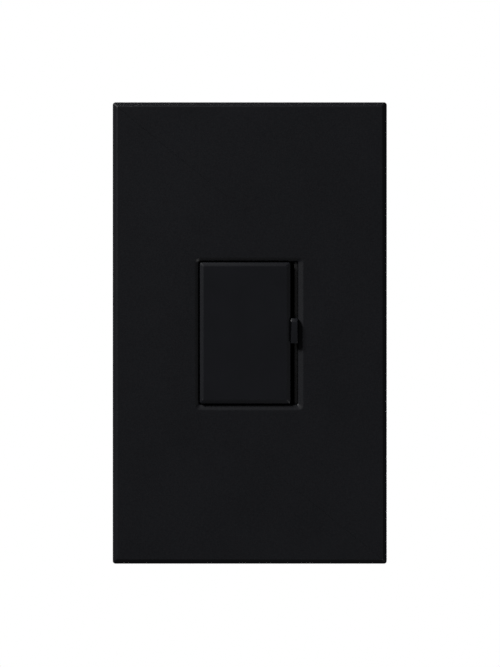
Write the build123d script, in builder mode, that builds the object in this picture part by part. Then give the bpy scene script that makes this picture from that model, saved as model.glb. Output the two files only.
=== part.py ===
"""Wall dimmer switch with a screwless plate, a large tap pad and a slim slide lever beside it.

The frame: x runs to the right as seen from the room, y runs into the wall and z runs up.
The origin is the middle of the two box screws, on the wall face. The plate's rim and the
yoke's back both lie on y = 0, the plate stands out towards -y and the housing sinks to +y.
All sizes are in millimetres.
"""

import math
import os

from build123d import *

# ---- Cover plate -----------------------------------------------------------------------------
plate_width = 69.85
plate_height = 117.6
plate_depth = 7.6
plate_face = 2.2
plate_side = 1.8
plate_corner = 0.7
plate_bevel = 1.15
plate_bevel_depth = 1.6
plate_bevel_corner = 0.3
snap_rib_reach = 0.7
snap_rib_width = 8.0
snap_rib_thick = 0.7
snap_rib_play = 0.1
snap_rib_spread = 36.0
standoff_width = 8.0
standoff_thick = 1.2
standoff_inset = 4.0
pry_notch_width = 8.0
pry_notch_depth = 0.9

# ---- Tap pad, slide knob and the window they share -------------------------------------------
pad_width = 23.05
pad_height = 35.9
pad_gap = 0.3
pad_proud = 0.5
pad_face = 1.7
pad_wall = 1.2
pad_skirt = 3.2
pad_bevel = 0.95
pad_bevel_depth = 0.4
pad_corner = 0.5
pad_bevel_corner = 0.2
pad_travel_deg = 3.0
pad_post_radius = 1.6
pad_post_play = 0.15
slot_width = 1.92
window_shift = -0.35
window_flare = 1.1
window_flare_depth = 0.5
flare_drop = 0.25
flare_shift = -0.13
window_corner = 0.4
flare_corner = 1.2

knob_width = 1.75
knob_height = 6.4
knob_proud = 0.9
knob_rest = 0.55
knob_end_gap = 0.5
knob_bevel = 0.9
knob_bevel_rise = 0.55
knob_edge = 0.25
knob_floor_gap = 0.3
lever_thick = 0.5
lever_width = 4.0
lever_in_knob = 0.9
lever_in_carriage = 2.4
lever_slit = 0.8
lever_shift = 0.375
ledge_depth = 0.9

# ---- Frame pieces behind the plate -----------------------------------------------------------
adapter_thick = 2.0
adapter_gap = 0.35
adapter_corner = 1.5
adapter_slot_length = 12.0
adapter_slot_width = 3.0
adapter_slot_inset_x = 9.0
adapter_slot_inset_z = 12.0
bezel_floor = 1.2
bezel_flange = 2.4
bezel_corner = 1.0
collar_wall = 1.2
collar_gap = 0.15
collar_play = 0.25
ear_thick = 1.4
ear_radius = 1.6
clip_width = 1.8
clip_mouth = 1.3
clip_play = 0.1
pin_radius = 0.8
pin_inset = 3.3
pin_end_gap = 0.3
post_radius = 1.1
post_head_radius = 1.8
post_head_thick = 0.7
yoke_thick = 1.6
yoke_inset = 4.9
yoke_height_inset = 5.8
yoke_corner = 3.0
yoke_hole = 6.0
yoke_slit = 2.6
score_inset = 5.5
score_width = 0.8
score_depth = 0.4
box_screw_spacing = 83.3
box_slot_width = 6.8
box_slot_height = 4.2
cover_screw_spacing = 96.8

# ---- Ground terminal -------------------------------------------------------------------------
ground_x = 14.0
ground_y = 5.5
ground_gap = 2.3
ground_tab_width = 10.0
ground_tab_reach = 10.0
ground_opening = 11.0
ground_screw_radius = 1.9
ground_screw_length = 3.0
ground_head_radius = 3.9
ground_head_thick = 1.9

# ---- Housing ---------------------------------------------------------------------------------
housing_width = 43.2
housing_past_pad = 26.1
housing_depth = 30.0
housing_wall = 1.8
housing_corner = 2.5
housing_edge = 1.2
boss_radius = 2.9
boss_inset = 0.5
board_post_radius = 2.6
board_post_inset = 6.0
gauge_length = 14.0
gauge_width = 2.4
gauge_depth = 0.6

# ---- Fasteners -------------------------------------------------------------------------------
box_screw_radius = 1.753
box_neck_radius = 1.4
box_head_radius = 3.4
box_head_thick = 2.1
box_screw_length = 25.4
washer_thick = 0.6
washer_width = 8.0
washer_corner = 1.0
cover_screw_radius = 1.7
cover_head_radius = 3.0
cover_screw_length = 5.6
housing_screw_radius = 1.25
housing_head_radius = 2.5
housing_screw_length = 14.0
pot_screw_radius = 1.0
pot_head_radius = 1.9
pot_screw_length = 4.0
board_screw_radius = 1.1
board_head_radius = 2.1
board_head_thick = 1.4
board_screw_length = 7.0
terminal_screw_radius = 1.75
terminal_head_radius = 3.4
terminal_head_thick = 1.8
terminal_screw_reach = 3.0
recess_depth = 0.7
recess_width = 0.7

# ---- Return springs under the pad ------------------------------------------------------------
spring_wire = 0.35
spring_radius = 1.25
spring_turns = 3.5
spring_spread = 13.0
spring_z = -14.5
spring_seat_depth = 0.5
spring_seat_play = 0.25
spring_boss_radius = 0.8
spring_boss_length = 1.2

# ---- Tap switch module -----------------------------------------------------------------------
plunger_x = -5.0
plunger_z = -10.0
plunger_width = 3.6
plunger_gap = 0.15
plunger_flange = 6.4
plunger_flange_thick = 1.0
plunger_flange_play = 0.3
plunger_tip_radius = 1.2
plunger_spring_radius = 1.8
plunger_spring_turns = 2.5
plunger_spring_length = 2.7
switch_width = 16.0
switch_height = 18.0
switch_drop = 3.0
switch_wall = 1.2
switch_lid = 1.2
switch_ledge = 1.0
switch_yoke_gap = 1.0
shelf_thick = 1.0
shelf_play = 0.15
arm_gap = 0.1
arm_thick = 0.5
arm_width = 5.0
arm_pivot_drop = 8.2
arm_pivot_rise = 0.1
arm_contact_reach = 10.3
arm_overhang = 1.5
arm_hub_radius = 1.2
arm_pin_radius = 0.6
contact_radius = 1.3
contact_thick = 0.8
contact_gap = 0.15
strip_thick = 0.6
strip_width = 4.0
strip_length = 5.0
bracket_thick = 0.8
bracket_half = 1.6
tail_width = 1.6
tail_thick = 0.8
tail_past_board = 0.6

# ---- Slide control ---------------------------------------------------------------------------
pot_width = 8.8
pot_depth = 7.0
pot_sheet = 0.8
pot_tab = 4.6
carriage_length = 8.0
carriage_width = 6.2
carriage_depth = 3.4
track_thick = 0.8
wiper_sheet = 0.3
wiper_width = 0.9
wiper_length = 3.0
wiper_spread = 3.0
pot_pin_radius = 0.4
pot_pin_spread = 2.5
pot_pin_inset = 1.3

# ---- Circuit board and what stands on it -----------------------------------------------------
board_front = 14.4
board_thick = 1.6
board_gap = 1.6
triac_x = -7.5
triac_tab_width = 10.0
triac_tab_length = 15.5
triac_tab_thick = 1.3
triac_body_length = 9.2
triac_body_thick = 3.2
triac_low = 4.6
triac_hole_drop = 2.9
triac_lead_pitch = 2.54
triac_lead_width = 0.8
triac_lead_thick = 0.5
triac_lead_drop = 2.6
triac_lead_bend = 0.9
rivet_radius = 1.5
rivet_head_radius = 2.5
rivet_head_thick = 0.7
heat_pad_thick = 0.3
heat_pad_margin = 0.6
choke_x = -2.0
choke_z = 13.0
choke_outer = 8.0
choke_inner = 4.2
choke_turns = 20
choke_wire = 0.8
choke_pad_radius = 7.0
choke_pad_thick = 1.0
choke_top_gap = 2.0
filter_width = 18.0
filter_height = 9.0
filter_lead_spread = 15.0
filter_top_gap = 1.7
filter_z = -11.5
timing_x = 12.0
timing_z = 12.0
timing_width = 7.2
timing_height = 2.6
timing_depth = 5.0
timing_lead_spread = 5.0
resistor_x = -14.3
resistor_radius = 1.15
resistor_length = 6.0
resistor_rows = [-9.0, 4.0, 17.0]
diac_x = 12.0
diac_z = -13.0
diac_radius = 0.9
diac_length = 3.8
lead_radius = 0.3
lead_reach = 1.7
lead_bend = 0.6

# ---- Line terminals --------------------------------------------------------------------------
terminal_z = 12.0
notch_depth = 4.6
notch_width = 10.4
notch_start = 18.0
terminal_plate_thick = 1.0
terminal_plate_width = 9.6
terminal_tail_width = 3.0
clamp_thick = 0.8
clamp_width = 7.4
wire_gap = 0.9

# ---- Clearances ------------------------------------------------------------------------------
running = 0.05
seat = 0.03
clear = 0.4

# ---- Depths worked out from the sizes above --------------------------------------------------
plate_front = -plate_depth
plate_inside = plate_front + plate_face
yoke_front = -yoke_thick
adapter_front = yoke_front - adapter_thick
bezel_front = yoke_front - bezel_floor
collar_front = plate_inside + collar_play
pad_front = plate_front - pad_proud
pad_inside = pad_front + pad_face
pad_rear = pad_front + pad_skirt
knob_front = plate_front - knob_proud
ledge_front = plate_front + ledge_depth
knob_rear = ledge_front - knob_floor_gap
washer_front = yoke_front - washer_thick
box_head_front = washer_front - box_head_thick
spring_seat = bezel_front + spring_seat_depth
switch_front = switch_yoke_gap
switch_inside = switch_front + switch_lid
flange_front = switch_inside + plunger_flange_play
flange_rear = flange_front + plunger_flange_thick
shelf_front = flange_rear + plunger_spring_length
shelf_rear = shelf_front + shelf_thick
pin_y = (pad_inside + bezel_front) / 2
plunger_front = pin_y + clear
carriage_front = pot_sheet + clear
carriage_rear = carriage_front + carriage_depth
track_front = pot_depth - track_thick
board_rear = board_front + board_thick
housing_inside = housing_depth - housing_wall
tail_end = board_rear + tail_past_board

# ---- Places in the front view ----------------------------------------------------------------
window_width = pad_gap + pad_width + slot_width
window_height = pad_height + 2 * pad_gap
pad_x = window_shift - window_width / 2 + pad_gap + pad_width / 2
pad_left_inside = pad_x - pad_width / 2 + pad_wall
pad_right_inside = pad_x + pad_width / 2 - pad_wall
slot_x = pad_x + pad_width / 2 + slot_width / 2
lever_x = slot_x - lever_shift
slider_limit = window_height / 2 - knob_end_gap - knob_height / 2
housing_height = pad_height + housing_past_pad
slider_opening = 2 * slider_limit + lever_width + 3 * clear
pin_z = pad_height / 2 - pin_inset
pad_drop = pin_z - plunger_z
plunger_travel = pad_drop * math.radians(pad_travel_deg)
collar_width = window_width + 2 * collar_gap
collar_height = window_height + 2 * collar_gap
bezel_width = window_width + 2 * bezel_flange
bezel_height = window_height + 2 * bezel_flange
adapter_width = plate_width - 2 * (plate_side + adapter_gap)
adapter_height = plate_height - 2 * (plate_side + adapter_gap)
yoke_width = plate_width - 2 * yoke_inset
yoke_height = plate_height - 2 * yoke_height_inset
boss_x = housing_width / 2 - boss_inset - boss_radius
boss_z = housing_height / 2 - boss_inset - boss_radius
board_width = housing_width - 2 * (housing_wall + board_gap)
board_height = housing_height - 2 * (housing_wall + board_gap)
switch_z = plunger_z - switch_drop
pot_length = 2 * slider_limit + carriage_length + 2 * (clear + pot_sheet)
pot_screw_z = pot_length / 2 + pot_tab / 2
pot_pin_z = pot_sheet + pot_pin_inset - pot_length / 2
ground_tab_top = -(housing_height / 2 + ground_gap)
ground_tab_low = ground_tab_top - yoke_thick

# ---- The tap switch's swinging arm, and where its contact closes -----------------------------
tip_end = shelf_rear + shelf_play + plunger_travel / 2
arm_front = tip_end + arm_gap
pivot_y = arm_front + arm_thick + arm_pivot_rise
pivot_z = plunger_z - arm_pivot_drop
contact_z = pivot_z + arm_contact_reach
moving_contact_front = arm_front + arm_thick
moving_contact_rear = moving_contact_front + contact_thick
arm_swing = plunger_travel / arm_pivot_drop
contact_sweep = (arm_contact_reach + contact_radius) * math.sin(arm_swing)
fixed_contact_front = moving_contact_rear + contact_sweep + contact_gap
strip_rear = board_front - switch_wall
strip_front = strip_rear - strip_thick

# ---- Terminals, worked out from the housing --------------------------------------------------
notch_floor = housing_width / 2 - notch_depth
terminal_y = (notch_start + housing_depth) / 2
terminal_sides = [(-1, terminal_z), (-1, -terminal_z), (1, terminal_z)]
clamp_inner = notch_floor + terminal_plate_thick + wire_gap
terminal_head_inner = clamp_inner + clamp_thick
terminal_tail_x = notch_floor + terminal_plate_thick / 2

# ---- Patterns of points, each (x, z) ---------------------------------------------------------
box_spots = [(0, box_screw_spacing / 2), (0, -box_screw_spacing / 2)]
cover_spots = [(0, cover_screw_spacing / 2), (0, -cover_screw_spacing / 2)]
boss_spots = [(boss_x, boss_z), (boss_x, -boss_z), (-boss_x, boss_z), (-boss_x, -boss_z)]
pot_screw_spots = [(slot_x, pot_screw_z), (slot_x, -pot_screw_z)]
board_screw_z = housing_height / 2 - board_post_inset
board_screw_spots = [(0, board_screw_z), (0, -board_screw_z)]
post_spots = [(-10.8, 0.0), (-10.8, -15.5), (4.6, 15.5), (4.6, -15.5)]
spring_spots = [(pad_x - spring_spread / 2, spring_z), (pad_x + spring_spread / 2, spring_z)]
plunger_spot = [(plunger_x, plunger_z)]
rivet_spot = [(triac_x, triac_low + triac_tab_length - triac_hole_drop)]
pot_pin_spots = [(slot_x + step * pot_pin_spread, pot_pin_z) for step in (-1, 0, 1)]
triac_lead_z = triac_low - triac_lead_drop
triac_lead_xs = [triac_x + step * triac_lead_pitch for step in (-1, 0, 1)]

# ---- A primitive placed with this grows towards the wall ------------------------------
inward = (Align.CENTER, Align.CENTER, Align.MAX)


def facing(y):
    """Sketch plane at depth y that faces the room, with local x along +x and local y along +z."""
    return Plane.XZ.offset(-y)


def spots(y, points):
    """Locations at depth y, at points (x, z), whose local z points at the room."""
    return [facing(y).location * Location((x, z, 0)) for x, z in points]


def slab(points, y_from, y_to, width, height, mode=Mode.ADD):
    """Box from depth y_from to depth y_to at each point, width along x and height along z."""
    with Locations(*spots(y_from, points)):
        Box(width, height, y_to - y_from, align=inward, mode=mode)


def rod(points, y_from, y_to, radius, mode=Mode.ADD):
    """Round rod from depth y_from to depth y_to at each point."""
    with Locations(*spots(y_from, points)):
        Cylinder(radius, y_to - y_from, align=inward, mode=mode)


def cross_rod(x_from, x_to, y, z, radius, mode=Mode.ADD):
    """Round rod along x, from x_from to x_to, with its axis at (y, z)."""
    with Locations(Location(((x_from + x_to) / 2, y, z), (0, 90, 0))):
        Cylinder(radius, abs(x_to - x_from), mode=mode)


def cross_recess(points, y, reach):
    """Cross recess sunk into a screw head whose outer face is at depth y."""
    slab(points, y, y + recess_depth, 2 * reach, recess_width, Mode.SUBTRACT)
    slab(points, y, y + recess_depth, recess_width, 2 * reach, Mode.SUBTRACT)


def countersunk_screws(points, y, radius, head_radius, length):
    """Countersunk screws, flush at depth y, with their points towards the wall."""
    with BuildPart() as screws:
        rod(points, y, y + length, radius)
        with Locations(*spots(y, points)):
            Cone(radius, head_radius, head_radius - radius, align=inward)
        chamfer(screws.edges().group_by(Axis.Y)[-1], length=radius / 3)
        cross_recess(points, y, head_radius * 0.6)
    return screws.part


def coil(center_x, y_from, y_to, center_z, radius, turns):
    """Open coil spring of round wire that fills the space from depth y_from to depth y_to."""
    height = y_to - y_from - spring_wire - 2 * seat
    start = (center_x, y_from + seat + spring_wire / 2, center_z)
    with BuildPart() as spring:
        with BuildLine() as path:
            Helix(height / turns, height, radius, center=start, direction=(0, 1, 0))
        with BuildSketch(Plane(origin=path.line @ 0, z_dir=path.line % 0)):
            Circle(spring_wire / 2)
        sweep(is_frenet=True)
    return spring.part


def keep(part, name):
    """Labels a finished piece and writes it as a STEP file of that name."""
    part.label = name
    export_step(part, f"parts/{name}.step")


os.makedirs("parts", exist_ok=True)

# ---- Wall plate: one moulded shell with no screws showing ------------------------------------
rib_front = yoke_front + snap_rib_play
rib_x = snap_rib_spread / 2
rib_z = plate_height / 2 - plate_side - snap_rib_reach / 2
standoff_z = plate_height / 2 - plate_side - standoff_inset
rib_spots = [(side * rib_x, end * rib_z) for side in (-1, 1) for end in (-1, 1)]
standoff_spots = [(side * rib_x, end * standoff_z) for side in (-1, 1) for end in (-1, 1)]
pry_spot = [(0, (plate_side - plate_height) / 2)]

with BuildPart() as wall_plate:
    with BuildSketch(facing(0)):
        RectangleRounded(plate_width, plate_height, plate_corner)
    extrude(amount=plate_depth - plate_bevel_depth)
    with BuildSketch(facing(plate_front + plate_bevel_depth)):
        RectangleRounded(plate_width, plate_height, plate_corner)
    with BuildSketch(facing(plate_front)):
        RectangleRounded(
            plate_width - 2 * plate_bevel, plate_height - 2 * plate_bevel, plate_bevel_corner
        )
    loft(ruled=True)
    with BuildSketch(facing(0)):
        RectangleRounded(
            plate_width - 2 * plate_side, plate_height - 2 * plate_side, plate_corner
        )
    extrude(amount=plate_depth - plate_face, mode=Mode.SUBTRACT)
    slab(rib_spots, rib_front, rib_front + snap_rib_thick, snap_rib_width, snap_rib_reach)
    slab(standoff_spots, plate_inside, adapter_front, standoff_width, standoff_thick)
    slab(pry_spot, -pry_notch_depth, 0, pry_notch_width, plate_side, Mode.SUBTRACT)
    with BuildSketch(facing(plate_inside)):
        with Locations((window_shift, 0)):
            RectangleRounded(window_width, window_height, window_corner)
    extrude(amount=plate_face, mode=Mode.SUBTRACT)
    with BuildSketch(facing(plate_front + window_flare_depth)):
        with Locations((window_shift, 0)):
            RectangleRounded(window_width, window_height, window_corner)
    with BuildSketch(facing(plate_front)):
        with Locations((flare_shift, -flare_drop)):
            RectangleRounded(
                window_width + 2 * window_flare, window_height + 2 * window_flare, flare_corner
            )
    loft(ruled=True, mode=Mode.SUBTRACT)
keep(wall_plate.part, "wall_plate")

# ---- Adapter: the flat frame that the plate snaps over ---------------------------------------
adapter_window = (bezel_width + 2 * clear, bezel_height + 2 * clear)
washer_window = washer_width + 2 * clear
adapter_slot_x = adapter_width - 2 * adapter_slot_inset_x
adapter_slot_z = adapter_height - 2 * adapter_slot_inset_z

with BuildPart() as adapter_plate:
    with BuildSketch(facing(yoke_front)):
        RectangleRounded(adapter_width, adapter_height, adapter_corner)
        with Locations((window_shift, 0)):
            RectangleRounded(*adapter_window, bezel_corner, mode=Mode.SUBTRACT)
        with Locations(*box_spots):
            RectangleRounded(washer_window, washer_window, washer_corner, mode=Mode.SUBTRACT)
        with GridLocations(adapter_slot_x, adapter_slot_z, 2, 2):
            SlotOverall(adapter_slot_length, adapter_slot_width, mode=Mode.SUBTRACT)
    extrude(amount=adapter_thick)
    with Locations(*spots(adapter_front, cover_spots)):
        CounterSinkHole(
            cover_screw_radius + clear / 2, cover_head_radius + seat, counter_sink_angle=90
        )
keep(adapter_plate.part, "adapter_plate")

adapter_screws = countersunk_screws(
    cover_spots, adapter_front, cover_screw_radius, cover_head_radius, cover_screw_length)
keep(adapter_screws, "adapter_screws")

# ---- Yoke: the aluminium strap, which is also the heat sink ----------------------------------
ground_tab_spot = [(ground_x, (ground_tab_top + ground_tab_low) / 2)]

with BuildPart() as yoke:
    with BuildSketch(facing(0)):
        RectangleRounded(yoke_width, yoke_height, yoke_corner)
        with Locations(*box_spots):
            SlotOverall(box_slot_width, box_slot_height, mode=Mode.SUBTRACT)
        with Locations((slot_x, 0)):
            Rectangle(yoke_slit, slider_opening, mode=Mode.SUBTRACT)
        with Locations((plunger_x, plunger_z)):
            Rectangle(yoke_hole, yoke_hole, mode=Mode.SUBTRACT)
        with Locations((ground_x, ground_tab_low - ground_opening / 2)):
            Rectangle(ground_tab_width, ground_opening, mode=Mode.SUBTRACT)
    extrude(amount=yoke_thick)
    for side in (-1, 1):
        score_spot = [(side * (yoke_width / 2 - score_inset), 0)]
        slab(score_spot, -score_depth, 0, score_width, yoke_height, Mode.SUBTRACT)
    slab(ground_tab_spot, yoke_front, ground_tab_reach, ground_tab_width, yoke_thick)
    with Locations((ground_x, ground_y, ground_tab_top)):
        Hole(ground_screw_radius + seat, depth=yoke_thick)
    rod(cover_spots, yoke_front, 0, cover_screw_radius + seat, Mode.SUBTRACT)
    rod(post_spots, yoke_front, 0, post_radius + seat, Mode.SUBTRACT)
    for points, radius, head_radius in (
        (boss_spots, housing_screw_radius, housing_head_radius),
        (pot_screw_spots, pot_screw_radius, pot_head_radius),
        (rivet_spot, rivet_radius, rivet_head_radius),
    ):
        with Locations(*spots(yoke_front, points)):
            CounterSinkHole(radius + seat, head_radius + seat, yoke_thick, counter_sink_angle=90)
keep(yoke.part, "yoke")

# ---- Box screws, their washers and the ground screw ------------------------------------------
with BuildPart() as box_screws:
    rod(box_spots, box_head_front, washer_front, box_head_radius)
    fillet(box_screws.edges().group_by(Axis.Y)[0], radius=box_head_thick / 3)
    rod(box_spots, washer_front, 0, box_neck_radius)
    rod(box_spots, 0, washer_front + box_screw_length, box_screw_radius)
    chamfer(box_screws.edges().group_by(Axis.Y)[-1], length=box_screw_radius / 3)
    slab(box_spots, box_head_front, box_head_front + recess_depth, 2 * box_head_radius,
         recess_width, Mode.SUBTRACT)
keep(box_screws.part, "box_screws")

with BuildPart() as box_screw_washers:
    with BuildSketch(facing(yoke_front)):
        with Locations(*box_spots):
            RectangleRounded(washer_width, washer_width, washer_corner)
            Circle(box_neck_radius + seat, mode=Mode.SUBTRACT)
    extrude(amount=washer_thick)
keep(box_screw_washers.part, "box_screw_washers")

with BuildPart() as ground_screw:
    with BuildSketch(Plane.XY.offset(ground_tab_low)):
        with Locations((ground_x, ground_y)):
            RegularPolygon(ground_head_radius, 6)
    extrude(amount=-ground_head_thick)
    chamfer(ground_screw.edges().group_by(Axis.Z)[0], length=recess_width / 2)
    with BuildSketch(Plane.XY.offset(ground_tab_low)):
        with Locations((ground_x, ground_y)):
            Circle(ground_screw_radius)
    extrude(amount=ground_screw_length)
    with BuildSketch(Plane.XY.offset(ground_tab_low - ground_head_thick)):
        with Locations((ground_x, ground_y)):
            Rectangle(2 * ground_head_radius, recess_width)
    extrude(amount=recess_depth, mode=Mode.SUBTRACT)
keep(ground_screw.part, "ground_screw")

# ---- Bezel: guides the pad and the slide lever, staked to the yoke by its posts --------------
left_ear_x = pad_left_inside + clip_width + clip_play
right_ear_x = pad_right_inside - clip_width - clip_play - ear_thick
plunger_hole = plunger_width + 2 * plunger_gap
ledge_left = lever_x + lever_slit / 2
ledge_right = window_shift + window_width / 2 - running
spring_pocket_radius = spring_radius + spring_wire / 2 + spring_seat_play

with BuildPart() as bezel:
    with BuildSketch(facing(yoke_front)):
        with Locations((window_shift, 0)):
            RectangleRounded(bezel_width, bezel_height, bezel_corner)
    extrude(amount=bezel_floor)
    with BuildSketch(facing(bezel_front)):
        with Locations((window_shift, 0)):
            RectangleRounded(
                collar_width + 2 * collar_wall, collar_height + 2 * collar_wall, bezel_corner
            )
            RectangleRounded(collar_width, collar_height, window_corner, mode=Mode.SUBTRACT)
    extrude(amount=bezel_front - collar_front)
    for ear_x in (left_ear_x, right_ear_x):
        with BuildSketch(Plane.YZ.offset(ear_x)):
            with Locations((pin_y, pin_z)):
                Circle(ear_radius)
            with Locations(((pin_y + bezel_front) / 2, pin_z)):
                Rectangle(bezel_front - pin_y, 2 * ear_radius)
        extrude(amount=ear_thick)
    cross_rod(left_ear_x, right_ear_x + ear_thick, pin_y, pin_z, pin_radius + seat, Mode.SUBTRACT)
    slab([(lever_x, 0)], bezel_front, yoke_front, lever_slit, slider_opening, Mode.SUBTRACT)
    slab([((ledge_left + ledge_right) / 2, 0)], ledge_front, bezel_front,
         ledge_right - ledge_left, window_height - 2 * collar_gap)
    slab(plunger_spot, bezel_front, yoke_front, plunger_hole, plunger_hole, Mode.SUBTRACT)
    rod(spring_spots, bezel_front, spring_seat, spring_pocket_radius, Mode.SUBTRACT)
    rod(post_spots, yoke_front, 0, post_radius)
    rod(post_spots, 0, post_head_thick, post_head_radius)
keep(bezel.part, "bezel")

# ---- Tap pad: a hollow cap that clips over the hinge pin near its top ------------------------
with BuildPart() as rocker_pad:
    with BuildSketch(facing(pad_rear)):
        with Locations((pad_x, 0)):
            RectangleRounded(pad_width, pad_height, pad_corner)
    extrude(amount=pad_skirt - pad_bevel_depth)
    with BuildSketch(facing(pad_front + pad_bevel_depth)):
        with Locations((pad_x, 0)):
            RectangleRounded(pad_width, pad_height, pad_corner)
    with BuildSketch(facing(pad_front)):
        with Locations((pad_x, 0)):
            RectangleRounded(
                pad_width - 2 * pad_bevel, pad_height - 2 * pad_bevel, pad_bevel_corner
            )
    loft(ruled=True)
    slab([(pad_x, 0)], pad_inside, pad_rear, pad_right_inside - pad_left_inside,
         pad_height - 2 * pad_wall, Mode.SUBTRACT)
    for clip_x in (pad_left_inside, pad_right_inside - clip_width):
        with BuildSketch(Plane.YZ.offset(clip_x)):
            with Locations((pin_y, pin_z)):
                Circle(ear_radius)
            with Locations(((pin_y + pad_inside) / 2, pin_z)):
                Rectangle(pin_y - pad_inside, 2 * ear_radius)
            with Locations((pin_y, pin_z)):
                Circle(pin_radius + running, mode=Mode.SUBTRACT)
            with Locations((pin_y + ear_radius / 2, pin_z)):
                Rectangle(ear_radius, clip_mouth, mode=Mode.SUBTRACT)
        extrude(amount=clip_width)
    rod(plunger_spot, pad_inside, plunger_front - pad_post_play, pad_post_radius)
    rod(spring_spots, pad_inside, pad_inside + spring_boss_length, spring_boss_radius)
keep(rocker_pad.part, "rocker_pad")

with BuildPart() as hinge_pin:
    cross_rod(pad_left_inside + pin_end_gap, pad_right_inside - pin_end_gap, pin_y, pin_z, pin_radius)
    chamfer(hinge_pin.edges().filter_by(GeomType.CIRCLE), length=pin_radius / 4)
keep(hinge_pin.part, "hinge_pin")

pad_return_springs = Compound(
    [coil(x, pad_inside, spring_seat, z, spring_radius, spring_turns).solid() for x, z in spring_spots]
)
keep(pad_return_springs, "pad_return_springs")

# ---- Slide knob on its steel lever -----------------------------------------------------------
knob_top = knob_rest + knob_height / 2
knob_low = knob_rest - knob_height / 2

with BuildPart() as slider_knob:
    with BuildSketch(Plane.YZ.offset(slot_x - knob_width / 2)):
        with BuildLine():
            Polyline(
                (knob_rear, knob_low),
                (knob_front, knob_low),
                (knob_front, knob_top - knob_bevel),
                (knob_front + knob_bevel_rise, knob_top),
                (knob_rear, knob_top),
                close=True,
            )
        make_face()
    extrude(amount=knob_width)
    fillet(slider_knob.edges().group_by(Axis.Y)[0].filter_by(Axis.Z), radius=knob_edge)
    slab([(lever_x, knob_rest)], knob_rear - lever_in_knob - seat, knob_rear,
         lever_thick + 2 * seat, lever_width + 2 * seat, Mode.SUBTRACT)
keep(slider_knob.part, "slider_knob")

with BuildPart() as slider_lever:
    slab([(lever_x, knob_rest)], knob_rear - lever_in_knob, carriage_front + lever_in_carriage,
         lever_thick, lever_width)
keep(slider_lever.part, "slider_lever")

# ---- Slide control: folded steel case, moulded carriage, wipers, track board and pins --------
with BuildPart() as pot_frame:
    slab([(slot_x, 0)], 0, pot_depth, pot_width, pot_length)
    slab([(slot_x, 0)], pot_sheet, pot_depth, pot_width - 2 * pot_sheet,
         pot_length - 2 * pot_sheet, Mode.SUBTRACT)
    slab([(slot_x, 0)], 0, pot_sheet, yoke_slit, slider_opening, Mode.SUBTRACT)
    slab(pot_screw_spots, 0, pot_sheet, pot_width, pot_tab)
    rod(pot_screw_spots, 0, pot_sheet, pot_screw_radius + seat, Mode.SUBTRACT)
keep(pot_frame.part, "pot_frame")

with BuildPart() as pot_track_board:
    slab([(slot_x, 0)], track_front, pot_depth, pot_width - 2 * (pot_sheet + seat),
         pot_length - 2 * (pot_sheet + seat))
    rod(pot_pin_spots, track_front, pot_depth, pot_pin_radius + seat, Mode.SUBTRACT)
keep(pot_track_board.part, "pot_track_board")

with BuildPart() as pot_pins:
    rod(pot_pin_spots, track_front + seat, tail_end, pot_pin_radius)
keep(pot_pins.part, "pot_pins")

with BuildPart() as pot_carriage:
    slab([(slot_x, knob_rest)], carriage_front, carriage_rear, carriage_width, carriage_length)
    slab([(lever_x, knob_rest)], carriage_front, carriage_front + lever_in_carriage + seat,
         lever_thick + 2 * seat, lever_width + 2 * seat, Mode.SUBTRACT)
keep(pot_carriage.part, "pot_carriage")

wiper_low = knob_rest - carriage_length / 2 + wiper_width
with BuildPart() as pot_wipers:
    slab([(slot_x, knob_rest)], carriage_rear, carriage_rear + wiper_sheet,
         wiper_spread + wiper_width, carriage_length)
    for finger_x in (slot_x - wiper_spread / 2, slot_x + wiper_spread / 2):
        with BuildSketch(Plane.YZ.offset(finger_x - wiper_width / 2)):
            with BuildLine():
                Polyline(
                    (carriage_rear, wiper_low),
                    (carriage_rear + wiper_sheet, wiper_low),
                    (track_front - running, wiper_low + wiper_length),
                    (track_front - running - wiper_sheet, wiper_low + wiper_length),
                    close=True,
                )
            make_face()
        extrude(amount=wiper_width)
keep(pot_wipers.part, "pot_wipers")

pot_screws = countersunk_screws(
    pot_screw_spots, yoke_front, pot_screw_radius, pot_head_radius, pot_screw_length)
keep(pot_screws, "pot_screws")

# ---- Tap switch: plunger, spring, case and shelf ---------------------------------------------
with BuildPart() as plunger:
    slab(plunger_spot, plunger_front, flange_front, plunger_width, plunger_width)
    slab(plunger_spot, flange_front, flange_rear, plunger_flange, plunger_flange)
    rod(plunger_spot, flange_rear, tip_end - plunger_tip_radius, plunger_tip_radius)
    with Locations(*spots(tip_end - plunger_tip_radius, plunger_spot)):
        Sphere(plunger_tip_radius)
keep(plunger.part, "plunger")

plunger_spring = coil(
    plunger_x, flange_rear, shelf_front, plunger_z, plunger_spring_radius, plunger_spring_turns)
keep(plunger_spring, "plunger_spring")

case_spot = [(plunger_x, switch_z)]
case_left = plunger_x - switch_width / 2
case_right = plunger_x + switch_width / 2
case_inner_width = switch_width - 2 * switch_wall
case_inner_height = switch_height - 2 * switch_wall
strip_spot = [(plunger_x, contact_z + contact_radius + seat - strip_length / 2 + tail_thick)]
strip_tail_spot = [(plunger_x, contact_z + contact_radius + seat)]
bracket_x = plunger_x + arm_width / 2 + clear + bracket_thick / 2
bracket_tail_spot = [(bracket_x, pivot_z)]
strip_tail_hole = (tail_width + 2 * seat, tail_thick + 2 * seat)
bracket_tail_hole = (bracket_thick + 2 * seat, tail_width + 2 * seat)

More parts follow.
